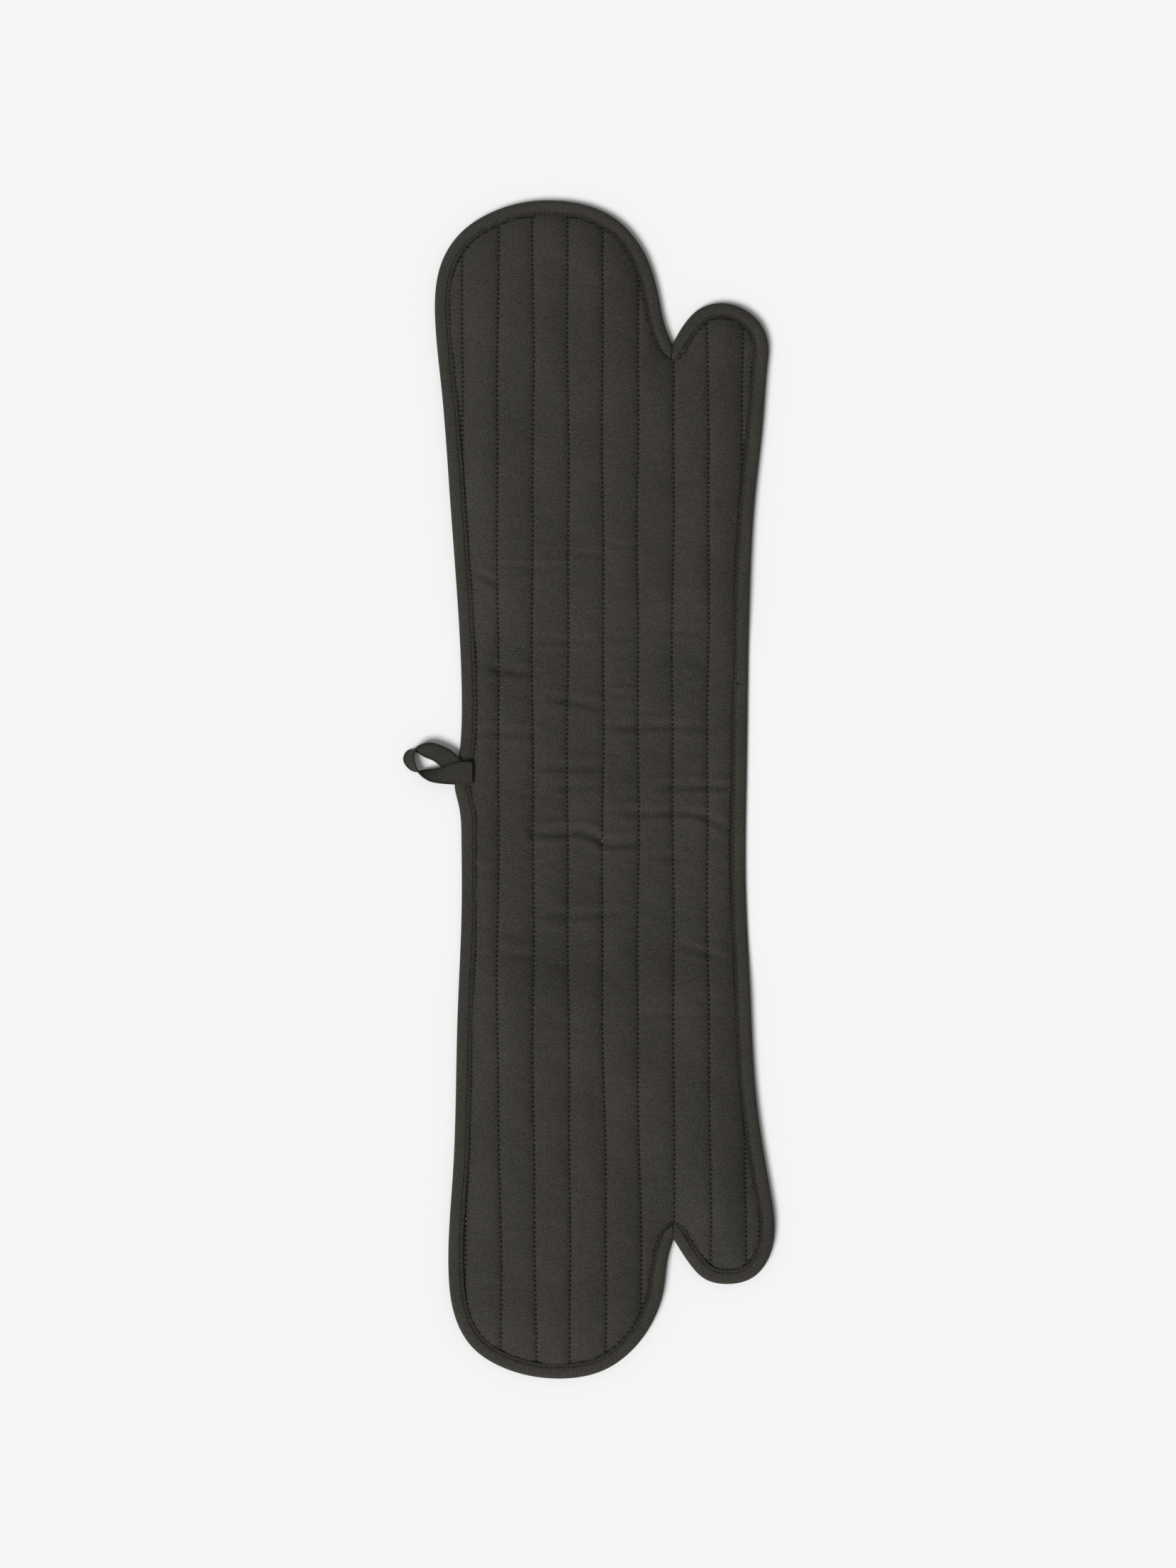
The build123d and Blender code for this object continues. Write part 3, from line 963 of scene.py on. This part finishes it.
# ---------------------------------------------------------------- binding
def edge_stations(step=1.9):
    """Points round the whole edge with inward directions, fanned round both crotches."""
    hand, thumb = smooth_curve(HAND_SIDE, step), smooth_curve(THUMB_SIDE, step)
    spots, inward = [], []

    def walk(curve):
        tangent = unit(np.gradient(curve, axis=0))
        for spot, way in zip(curve, tangent):
            spots.append(spot)
            inward.append((way[1], -way[0]))

    def fan(corner, before, after):
        a0 = math.atan2(*np.array(before)[::-1])
        a1 = math.atan2(*np.array(after)[::-1])
        swing = (a1 - a0 + math.pi) % (2 * math.pi) - math.pi
        if abs(swing) < math.radians(60):
            swing -= math.copysign(2 * math.pi, swing)
        for t in np.linspace(0, 1, 47)[1:-1]:
            angle = a0 + swing * t
            spots.append(np.array(corner, float))
            inward.append((math.cos(angle), math.sin(angle)))

    walk(hand)
    before = inward[-1]
    thumb_tangent = np.gradient(thumb, axis=0)
    first, last = thumb_tangent[0], thumb_tangent[-1]
    first, last = first / np.linalg.norm(first), last / np.linalg.norm(last)
    fan(UPPER_CROTCH, before, (first[1], -first[0]))
    walk(thumb)
    fan(LOWER_CROTCH, (last[1], -last[0]), inward[0])
    return np.array(spots), np.array(inward)


def binding_heights(y):
    """Middle height and half thickness of the bound edge."""
    high = on_mitt(y)
    return 2.35 + 1.75 * high, 2.15 + 1.25 * high


TOP_PITCH = 3.2         # length of one topstitch, with its gap
TOP_INSET = 9.0         # the topstitch's distance from the outer edge
JOIN = 75.5             # the tape's end laps over its start here, on the right edge; a painted shade line across the tape stands in for the lap's step
OUTSIDE = [11.2, 11.05, 10.5, 9.9, 9.4, 9.0, 8.6, 8.1, 7.3, 6.0, 4.4, 2.8, 1.5, 0.6, 0.12]
RISE = [0.0, 0.75, 1.16, 1.02, 0.42, -0.02, 0.40, 0.86, 1.10, 1.18, 1.15, 1.0, 0.62, 0.05, -1.2]


def crotch_stretch(spot, inward):
    """How much deeper the tape reaches where it turns round a crotch."""
    if min(math.dist(spot, UPPER_CROTCH), math.dist(spot, LOWER_CROTCH)) > 0.01:
        return 1.0
    lean = abs(math.degrees(math.atan2(inward[1], inward[0]))) - 90
    return 1 + 0.2 * math.exp(-((lean / 26) ** 2))


def binding_profile(spot, inward, s, pinch):
    """Ring of points round the folded tape at one station."""
    stretch = crotch_stretch(spot, inward)
    y = spot[1]
    middle, half = binding_heights(np.array([y]))
    middle, half = float(middle[0]), float(half[0])
    ripple = 0.20 * float(rumple(np.array([s / 3.1]), np.array([4.0]), 31)[0])
    drift = 0.35 * float(rumple(np.array([s / 17.0]), np.array([9.0]), 32)[0])
    sew = 0.16 * math.cos(2 * math.pi * s / TOP_PITCH)
    top, bottom = [], []
    for d, r in zip(OUTSIDE, RISE):
        share = min(1.0, max(0.0, d / 3.0))
        near = d > 2.8
        reach = (d + (drift + 0.3 * ripple) * share) * stretch
        tuck = pinch * min(1.0, d / 6.0)
        lift = (r - 1.18) if near else (r - 1.18) * half / 2.4
        if 8.5 < d < 9.5:
            lift -= sew
        lift += ripple * (0.5 if near else 0.25)
        top.append((reach, middle + half + lift + tuck))
        low = (r - 1.18) * (0.7 if near else half / 2.4)
        bottom.append((reach, middle - half - low - ripple * 0.3))
    outer = top + [(0.0, middle)] + bottom[::-1]
    inner = []
    for d in (11.0, 8.0, 5.0, 2.4, 1.3):
        cover = 0.75 if d > 2 else 1.2
        inner.append((d + drift * min(1.0, d / 3.0), middle + half - cover - (0.5 if d < 2 else 0)))
    inner += [(1.1, middle)] + [(d, 2 * middle - z) for d, z in inner[::-1]]
    ring = outer + inner[::-1]
    return [(spot[0] + inward[0] * d, spot[1] + inward[1] * d, z) for d, z in ring]


def tape_shade_distances(spot, s, count):
    """Distances from the topstitching, the fold and the tape's join, with the run along it, that
    place the painted shade lines of the tape.
    """
    away = [min(abs(d - TOP_INSET), max(0.0, 11.35 - d)) for d in OUTSIDE]
    # painted shade line across the tape at its join
    if spot[0] > 0 and abs(spot[1] - JOIN) < 1.0:
        away = [0.2 if 2.5 < d < 9 else a for d, a in zip(OUTSIDE, away)]
    return [(a, s) for a in away] + [(5.0, s)] * (count - len(away))


def binding_parts():
    """Station ranges of the binding that go with each body."""
    spots, inward = edge_stations()
    middle = spots + 6.0 * inward
    total = run_along(middle)
    where = []
    for spot, n in zip(spots, inward):
        side = "upper" if spot[1] > MIDDLE else "lower"
        probe = spot + n * 2.0
        past = float(past_thumb_line(side, probe[0], probe[1]))
        where.append(f"{side}_{'thumb' if past > 0 else 'half'}")
    return spots, inward, total, where


def pinch_at(spot, n):
    """The tuck in the binding at a crotch: it laps over itself there."""
    for corner, lean in ((UPPER_CROTCH, -90.0), (LOWER_CROTCH, 90.0)):
        if math.dist(spot, corner) > 16:
            continue
        angle = math.degrees(math.atan2(n[1], n[0])) - lean
        angle = (angle + 180) % 360 - 180
        if math.dist(spot, corner) > 0.01:
            return 0.35 * max(0.0, 1 - math.dist(spot, corner) / 16)
        over = (angle < 0) == (lean < 0)
        lap = 1.1 * math.exp(-((angle / 60) ** 2)) if over else 0.1
        return lap - 2.6 * math.exp(-(((angle - (2.0 if lean < 0 else -2.0)) / 5.5) ** 2))
    return 0.0


class MITT_OT_binding(bpy.types.Operator):
    """Fold the bias binding round the whole edge and topstitch it"""

    bl_idname = "mitt.binding"
    bl_label = "Bias Binding"

    def execute(self, context):
        spots, inward, total, where = binding_parts()
        count = len(spots)
        runs, start = [], 0
        for i in range(1, count + 1):
            if i == count or where[i] != where[i - 1]:
                runs.append([where[start], list(range(start, i))])
                start = i
        # each run reaches the next one's first station, so that neighbours meet
        for _, run in runs:
            run.append((run[-1] + 1) % count)
        if runs[0][0] == runs[-1][0]:
            runs[0][1] = runs[-1][1][:-1] + runs[0][1]
            runs.pop()
        made = {}
        length = total[-1]
        for body, run in runs:
            rings, uvs, seams = [], [], []
            for i in run:
                s = total[i] if i >= run[0] else total[i] + length
                ring = binding_profile(spots[i], inward[i], total[i], pinch_at(spots[i], inward[i]))
                rings.append(ring)
                uvs.append([(s, a) for a in run_along(ring)])
                seams.append(tape_shade_distances(spots[i], s, len(ring)))
            strip = ribbon(f"{body}_tape_{len(made)}", rings, uvs, seams)
            made.setdefault(body, []).append((strip, run))
        for body, strips in made.items():
            side, part = body.split("_")
            piece = merge(f"{body}_binding_tape", [s for s, _ in strips])
            finish_part(piece, side, part, "binding", "binding_tape", "binding")
            run_length = sum(run_along((spots + 6.0 * inward)[run])[-1] for _, run in strips)
            self.topstitch(side, part, [run for _, run in strips], spots, inward)
        return {"FINISHED"}

    def topstitch(self, side, part, runs, spots, inward):
        """Stitches in the groove near the tape's inner fold."""
        places, ways = [], []
        for run in runs:
            inset = [TOP_INSET * crotch_stretch(spots[i], inward[i]) for i in run]
            ring = np.array([spots[i] + inward[i] * d for i, d in zip(run, inset)])
            middle, half = binding_heights(ring[:, 1])
            lift = np.array([pinch_at(spots[i], inward[i]) for i in run])
            z = middle + half - 1.12 + lift
            line = np.column_stack([ring, z])
            t = run_along(line)
            at = np.arange(1.6, t[-1] - 1.0, TOP_PITCH)
            places.append(at_run(line, t, at))
            ways.append(at_run(line, t, at + 0.8) - at_run(line, t, at - 0.8))
        piece = stitches(
            f"{side}_{part}_topstitch_thread", np.vstack(places), np.vstack(ways), 2.4, 0.65, 0.45
        )
        finish_part(piece, side, part, "thread", "thread", "topstitch")


# ---------------------------------------------------------------- pockets
POCKET_LAYERS = (("shell", "twill"), ("wadding", "wadding"), ("lining", "lining"))
# cross-section of the mouth's tape: distance in from the mouth, height
CUFF_PROFILE = [
    (11.2, 0.15), (10.6, -0.12), (9.2, 0.18), (8.0, -0.1), (4.0, -0.16), (1.5, 0.0), (0.3, 0.9),
    (0.0, 2.4), (0.3, 4.0), (1.5, 5.0), (4.0, 5.2), (8.0, 5.1), (9.2, 4.8), (10.6, 5.1),
    (11.2, 4.8), (11.0, 4.3), (6.0, 4.3), (1.4, 4.0), (1.1, 2.5), (1.4, 1.0), (6.0, 0.75),
    (11.0, 0.75),
]


class MITT_OT_pockets(bpy.types.Operator):
    """Build the pockets under both mitts, with the backs of the thumbs"""

    bl_idname = "mitt.pockets"
    bl_label = "Pockets"

    def layers(self, title, region, wide):
        shell = cloth_layer(
            f"{title}_shell_cloth", region(8.4), lambda x, y: pocket_bottom(x, y) + 0.5,
            pocket_bottom, 2.6, COARSE,
        )
        loft_piece = cloth_layer(
            f"{title}_loft", region(wide), lambda x, y: pocket_top(x, y) - 0.46,
            lambda x, y: pocket_bottom(x, y) + 0.54,
        )
        lining = cloth_layer(
            f"{title}_lining_cloth", region(8.0), pocket_top, lambda x, y: pocket_top(x, y) - 0.4,
        )
        return shell, loft_piece, lining

    def execute(self, context):
        for side in SIDES:
            for hand in ("left", "right"):
                made = self.layers(
                    f"{side}_pocket_{hand}", lambda t: pocket_region(side, hand, t), 7.0
                )
                for piece, (kind, slot) in zip(made, POCKET_LAYERS):
                    dress(piece, kind, slot)
                    bend_pocket(piece)
                    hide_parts(f"{side}_pocket_{kind}")
                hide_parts(f"{side}_half_pocket_seam", f"{side}_pocket_wadding")
                declare_layers(pocket_region(side, hand, 8.2))
            made = self.layers(f"{side}_thumb_back", lambda t: thumb_region(side, t), 7.0)
            for piece, (kind, slot) in zip(made, POCKET_LAYERS):
                dress(piece, kind, slot)
                bend_thumb(piece, side)
                nodes = [f"{side}_thumb_back_{kind}"]
                if kind == "wadding":
                    nodes.append(f"{side}_thumb_pocket_seam")
                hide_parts(*nodes)
            declare_layers(thumb_region(side, 8.2))
            self.cuff(side)
        return {"FINISHED"}

    def cuff(self, side):
        """Tape folded round the pocket's mouth."""
        sign, mouth = SIDES[side]["sign"], SIDES[side]["mouth"]
        left_end, right_end = self.span(mouth)
        for hand, low, high in (
            ("left", left_end, POCKET_SPLIT), ("right", POCKET_SPLIT, right_end),
        ):
            xs = np.linspace(low, high, max(8, int((high - low) / 2.5)))
            rings, uvs, seams = [], [], []
            for x in xs:
                y_at = np.full(1, mouth + sign * 8.0)
                bottom = float(pocket_bottom(np.array([x]), y_at)[0])
                top = float(pocket_top(np.array([x]), y_at)[0])
                scale = (top - bottom + 0.5) / 5.2
                ring = [
                    (x, mouth + sign * d, max(0.02, bottom - 0.05 + z * scale))
                    for d, z in CUFF_PROFILE
                ]
                rings.append(ring)
                uvs.append([(x, r) for r in run_along(ring)])
                # seam coordinates for a painted shade line along the cuff's topstitching, 9.2 mm in
                # from the mouth
                seams.append([(abs(d - 9.2), x) for d, _ in CUFF_PROFILE])
            if sign < 0:
                rings, uvs, seams = rings[::-1], uvs[::-1], seams[::-1]
            piece = ribbon(f"{side}_cuff_{hand}", rings, uvs, seams)
            dress(piece, "binding", "binding_tape")
            bend_pocket(piece)
            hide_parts(f"{side}_cuff_binding")

    def span(self, mouth):
        """Where the mouth meets the binding on either side."""
        x = np.arange(-140, 141, 1.0)
        inside = x[depth_at(x, np.full(len(x), mouth)) > 8.5]
        return float(inside[0]), float(inside[-1])


# ---------------------------------------------------------------- hanging loop
UPPER_EDGE = [
    (-86.5, 14.0, 6.5), (-91.0, 18.6, 6.7), (-95.2, 24.6, 6.6), (-100.7, 29.1, 6.6),
    (-108.4, 32.7, 7.0),
    (-115.6, 34.2, 7.5), (-121.2, 32.9, 7.9), (-125.0, 30.0, 8.2), (-126.6, 25.3, 8.4),
    (-126.4, 20.6, 8.4), (-125.0, 15.9, 8.2), (-121.5, 10.4, 7.8), (-116.5, 6.5, 7.4),
    (-109.2, 4.6, 7.3), (-98.5, 3.7, 7.7), (-90.0, 3.6, 8.0), (-84.4, 3.4, 7.9),
]
LOWER_EDGE = [
    (-86.5, 3.2, 6.2), (-93.0, 8.6, 6.0), (-100.7, 13.0, 5.0), (-107.5, 16.9, 3.6),
    (-113.3, 21.2, 2.4),
    (-119.5, 23.8, 1.4), (-126.0, 27.8, 0.9), (-131.8, 28.0, 0.7), (-134.8, 22.2, 0.6),
    (-132.2, 16.8, 0.8), (-126.4, 13.4, 1.3), (-119.5, 14.6, 2.6), (-113.0, 15.2, 4.2),
    (-107.4, 16.4, 5.8), (-98.5, 19.4, 7.6), (-90.4, 20.3, 8.1), (-84.4, 19.8, 8.0),
]


def loop_rings(start, end, count):
    """Cross-sections of the folded tape between two shares of its run."""
    top = smooth_curve(UPPER_EDGE, 0.6)
    low = smooth_curve(LOWER_EDGE, 0.6)
    t_top, t_low = np.linspace(0, 1, len(top)), np.linspace(0, 1, len(low))
    at = np.linspace(start, end, count)
    return at, at_run(top, t_top, at), at_run(low, t_low, at)


class MITT_OT_loop(bpy.types.Operator):
    """Sew on the hanging loop with its bartack"""

    bl_idname = "mitt.loop"
    bl_label = "Hanging Loop"

    def execute(self, context):
        count = 90
        at, a, b = loop_rings(0.0, 1.0, count)
        along = unit(np.gradient((a + b) / 2, axis=0))
        across = b - a
        width = np.linalg.norm(across, axis=1)
        across /= width[:, None]
        out = unit(np.cross(along, across))
        half = sizes().loop_tape / MM / 2
        travelled = run_along((a + b) / 2)
        shares = [0.0, 0.03, 0.10, 0.16, 0.22, 0.4, 0.6, 0.78, 0.84, 0.90, 0.97, 1.0]
        puff = [0.45, 0.85, 1.0, 0.72, 0.95, 1.0, 1.0, 0.95, 0.72, 1.0, 0.85, 0.45]
        rings, uvs, seams = [], [], []
        for i in range(count):
            bow = 0.9 * math.sin(math.pi * np.clip((at[i] - 0.1) / 0.8, 0, 1))
            outer, inner = [], []
            for s, p in zip(shares, puff):
                base = a[i] + across[i] * width[i] * s + out[i] * bow * math.sin(math.pi * s)
                outer.append(base + out[i] * half * p)
                inner.append(base - out[i] * half * p)
            rings.append(outer + inner[::-1])
            uvs.append([(travelled[i], width[i] * s) for s in shares + shares[::-1]])
            # seam coordinates for painted shade lines 1.3 mm in from each edge of the tape
            seams.append(
                [(abs(width[i] * min(s, 1 - s) - 1.3), travelled[i]) for s in shares + shares[::-1]]
            )
        piece = ribbon("hanging_loop_tape", rings, uvs, seams)
        dress(piece, "loop", "loop_tape")
        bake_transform(piece)
        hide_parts("loop", "loop_base")
        self.bartack()
        return {"FINISHED"}

    def bartack(self):
        """Dense stitches that hold the tape's end to the binding."""
        random = np.random.default_rng(5)
        places, ways = [], []
        for i in range(11):
            y = 4.4 + 1.45 * i
            places.append((-85.3 + 0.25 * math.sin(i * 2.1), y, 8.85))
            ways.append((0.25 * random.uniform(-1, 1), 1.0, 0.0))
        for i in range(8):
            places.append((-91.8 + 0.75 * i, 19.2 + random.uniform(-0.5, 0.5), 9.0))
            ways.append((0.5, 1.0 * (-1) ** i, 0.0))
        piece = stitches("loop_bartack_thread", places, ways, 2.3, 0.7, 0.55)
        dress(piece, "thread", "thread")
        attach(piece, "centre")
        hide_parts("bartack")


# ---------------------------------------------------------------- stage
class MITT_OT_stage(bpy.types.Operator):
    """Set the floor, the lights and the camera above the mitt"""

    bl_idname = "mitt.stage"
    bl_label = "Studio"

    def execute(self, context):
        bpy.ops.object.select_all(action="DESELECT")
        bpy.ops.mesh.primitive_plane_add(size=30.0, location=(0, 0, -0.0004))
        floor = context.active_object
        floor.name = "studio_floor"
        paper = bpy.data.materials.new("studio_paper")
        paper.use_nodes = True
        nodes, links = paper.node_tree.nodes, paper.node_tree.links
        shader = nodes["Principled BSDF"]
        set_inputs(shader, {"Roughness": 0.9, "Specular IOR Level": 0.1})
        grain = nodes.new("ShaderNodeTexNoise")
        set_inputs(grain, {"Scale": 400.0})
        place = nodes.new("ShaderNodeTexCoord")
        links.new(place.outputs["Object"], grain.inputs["Vector"])
        tone = nodes.new("ShaderNodeMix")
        tone.data_type = "RGBA"
        colour = tuple(context.scene.mitt_colours.floor)
        tone.inputs["A"].default_value = (*colour, 1)
        tone.inputs["B"].default_value = (*[c * 0.995 for c in colour], 1)
        links.new(grain.outputs["Fac"], tone.inputs["Factor"])
        links.new(tone.outputs["Result"], shader.inputs["Base Color"])
        floor.data.materials.append(paper)

        world = bpy.data.worlds.new("studio_world")
        world.use_nodes = True
        back = world.node_tree.nodes["Background"]
        set_inputs(back, {"Color": (1, 1, 1, 1), "Strength": 0.30})
        context.scene.world = world

        key = bpy.data.lights.new("key", "SUN")
        key.energy = 3.03
        key.angle = math.radians(30)
        lamp = bpy.data.objects.new("key", key)
        lamp.rotation_euler = (math.radians(26), math.radians(-27), 0)
        context.scene.collection.objects.link(lamp)

        camera = bpy.data.cameras.new("camera")
        camera.sensor_width = 36.0
        camera.lens = 75.7
        camera.clip_end = 50.0
        eye = bpy.data.objects.new("camera", camera)
        eye.location = (-0.0005, 0.0041, 2.4)
        context.scene.collection.objects.link(eye)
        context.scene.camera = eye
        context.scene.view_settings.view_transform = "Standard"
        return {"FINISHED"}


class MITT_PT_panel(bpy.types.Panel):
    """Sidebar panel with the mitt's steps"""

    bl_label = "Double Oven Mitt"
    bl_idname = "MITT_PT_panel"
    bl_space_type = "VIEW_3D"
    bl_region_type = "UI"
    bl_category = "Mitt"

    def draw(self, context):
        layout = self.layout
        for title in ("puff", "stitch", "loop_tape"):
            layout.prop(context.scene.mitt_sizes, title)
        for title in ("face", "binding", "loop", "lining", "wadding", "thread", "floor"):
            layout.prop(context.scene.mitt_colours, title)
        for operator in OPERATORS:
            layout.operator(operator.bl_idname)


OPERATORS = (
    MITT_OT_panel, MITT_OT_quilting, MITT_OT_binding, MITT_OT_pockets, MITT_OT_loop, MITT_OT_stage,
)
CLASSES = (MittSizes, MittColours, *OPERATORS, MITT_PT_panel)


def register():
    for each in CLASSES:
        bpy.utils.register_class(each)
    bpy.types.Scene.mitt_sizes = PointerProperty(type=MittSizes)
    bpy.types.Scene.mitt_colours = PointerProperty(type=MittColours)


def unregister():
    del bpy.types.Scene.mitt_colours
    del bpy.types.Scene.mitt_sizes
    for each in reversed(CLASSES):
        bpy.utils.unregister_class(each)


def main():
    register()
    bpy.ops.object.select_all(action="DESELECT")
    bpy.ops.mitt.panel()
    bpy.ops.mitt.quilting()
    bpy.ops.mitt.binding()
    bpy.ops.mitt.pockets()
    bpy.ops.mitt.loop()
    bpy.ops.mitt.stage()


if __name__ == "__main__":
    main()
